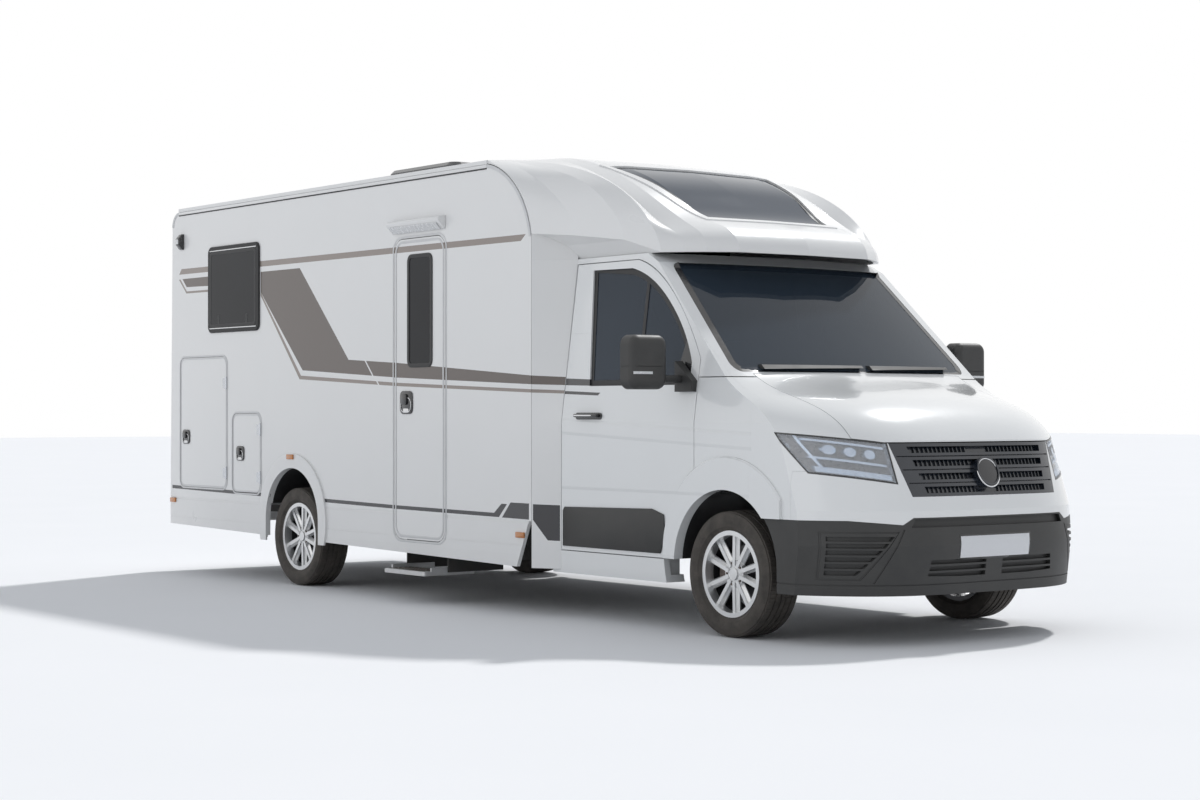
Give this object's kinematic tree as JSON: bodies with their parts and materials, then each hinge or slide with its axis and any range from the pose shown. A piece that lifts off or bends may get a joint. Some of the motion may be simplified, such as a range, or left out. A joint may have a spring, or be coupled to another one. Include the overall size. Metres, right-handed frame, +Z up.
{
  "type": "low-profile motorhome",
  "caption": "Low-profile motorhome: a van cab with a roof cap joined to a boxed living part, with opening doors, bonnet and locker lids, a sliding step, and steering and rolling wheels.",
  "frame": {"origin": "on the ground under the middle of the vehicle's box", "axes": "+X forward, +Y to the vehicle's left, +Z up"},
  "size_m": [7.418, 2.752, 2.909],
  "materials": {
    "alloy": "satin",
    "black_plastic": "grained",
    "dark_glass": "clear",
    "dash_plastic": "grained",
    "glass": "clear",
    "gloss_black": "gloss",
    "iron": "machined",
    "lamp": "clear",
    "lamp_reflector": "polished",
    "plywood": "sealed",
    "rubber": "matte",
    "seat_fabric": "woven",
    "steel": "satin",
    "tail_lens": "gloss",
    "tank_plastic": "satin",
    "tread_alloy": "ribbed",
    "white_moulding": "gloss",
    "white_paint": "gloss",
    "white_panel": "semi-gloss"
  },
  "bodies": {
    "body": {"chassis_frame": "steel", "floor": "plywood", "waste_tank": "tank_plastic", "wall_right": "white_panel", "wall_left": "white_panel", "wall_rear": "white_panel", "roof": "white_panel", "skylight": "dark_glass", "skirt_right": "white_moulding", "skirt_left": "white_moulding", "rear_bumper": "white_moulding", "tail_lamps": "tail_lens", "front_cap": "white_moulding", "cap_window": "dark_glass", "transition_panels": "white_moulding", "side_windows": "dark_glass", "cab_shell": "white_paint", "front_wings": "white_paint", "grille": "gloss_black", "bumper_upper": "white_paint", "bumper_lower": "black_plastic", "headlamps": "lamp_reflector", "headlamp_glass": "lamp", "windscreen": "glass", "wipers": "black_plastic", "dashboard": "dash_plastic", "cab_seats": "seat_fabric", "engine_block": "iron", "front_axle": "steel", "rear_axle": "steel"},
    "steer_left": {"knuckle_left": "iron"},
    "wheel_front_left": {"rim_front_left": "alloy", "tyre_front_left": "rubber"},
    "wheel_rear_left": {"rim_rear_left": "alloy", "tyre_rear_left": "rubber"},
    "cab_door_left": {"cab_door_left": "white_paint", "cab_glass_left": "glass", "mirror_left": "black_plastic"},
    "steer_right": {"knuckle_right": "iron"},
    "wheel_front_right": {"rim_front_right": "alloy", "tyre_front_right": "rubber"},
    "wheel_rear_right": {"rim_rear_right": "alloy", "tyre_rear_right": "rubber"},
    "cab_door_right": {"cab_door_right": "white_paint", "cab_glass_right": "glass", "mirror_right": "black_plastic"},
    "bonnet": {"bonnet": "white_paint"},
    "entrance_door": {"entrance_door": "white_panel", "entrance_glass": "dark_glass"},
    "garage_hatch_right": {"garage_hatch_right": "white_panel"},
    "small_hatch_right": {"small_hatch_right": "white_panel"},
    "garage_hatch_left": {"garage_hatch_left": "white_panel"},
    "entry_step": {"entry_step": "tread_alloy"}
  },
  "joints": [
    {"name": "steer_left", "type": "hinge", "parent": "body", "child": "steer_left", "pos_m": [2.69, 0.775, 0.34], "axis": [0, 0, 1], "range_deg": [-35, 35]},
    {"name": "front_left_spin", "type": "hinge", "parent": "steer_left", "child": "wheel_front_left", "pos_m": [2.69, 0.868, 0.34], "axis": [0, 1, 0], "continuous": true},
    {"name": "rear_left_spin", "type": "hinge", "parent": "body", "child": "wheel_rear_left", "pos_m": [-1.8, 0.955, 0.34], "axis": [0, 1, 0], "continuous": true},
    {"name": "cab_door_left", "type": "hinge", "parent": "body", "child": "cab_door_left", "pos_m": [2.428, 1, 1.2], "axis": [0, 0, -1], "range_deg": [0, 70]},
    {"name": "steer_right", "type": "hinge", "parent": "body", "child": "steer_right", "pos_m": [2.69, -0.775, 0.34], "axis": [0, 0, 1], "range_deg": [-35, 35]},
    {"name": "front_right_spin", "type": "hinge", "parent": "steer_right", "child": "wheel_front_right", "pos_m": [2.69, -0.868, 0.34], "axis": [0, 1, 0], "continuous": true},
    {"name": "rear_right_spin", "type": "hinge", "parent": "body", "child": "wheel_rear_right", "pos_m": [-1.8, -0.955, 0.34], "axis": [0, 1, 0], "continuous": true},
    {"name": "cab_door_right", "type": "hinge", "parent": "body", "child": "cab_door_right", "pos_m": [2.428, -1, 1.2], "axis": [0, 0, 1], "range_deg": [0, 70]},
    {"name": "bonnet_lift", "type": "hinge", "parent": "body", "child": "bonnet", "pos_m": [2.61, 0, 1.425], "axis": [0, -1, 0], "range_deg": [0, 55]},
    {"name": "entrance_door", "type": "hinge", "parent": "body", "child": "entrance_door", "pos_m": [0.12, -1.1, 1.3], "axis": [0, 0, 1], "range_deg": [0, 150]},
    {"name": "garage_hatch_right", "type": "hinge", "parent": "body", "child": "garage_hatch_right", "pos_m": [-2.7745, -1.1078, 1], "axis": [0, 0, 1], "range_deg": [0, 100]},
    {"name": "small_hatch_right", "type": "hinge", "parent": "body", "child": "small_hatch_right", "pos_m": [-2.2615, -1.1078, 1], "axis": [0, 0, 1], "range_deg": [0, 120]},
    {"name": "garage_hatch_left", "type": "hinge", "parent": "body", "child": "garage_hatch_left", "pos_m": [-2.7745, 1.1078, 1], "axis": [0, 0, -1], "range_deg": [0, 100]},
    {"name": "step_slide", "type": "slide", "parent": "body", "child": "entry_step", "axis": [0, 1, 0], "range_m": [0, 0.22]}
  ],
  "couplings": [
    {"joint": "steer_right", "follows": "steer_left", "ratio": 1}
  ]
}
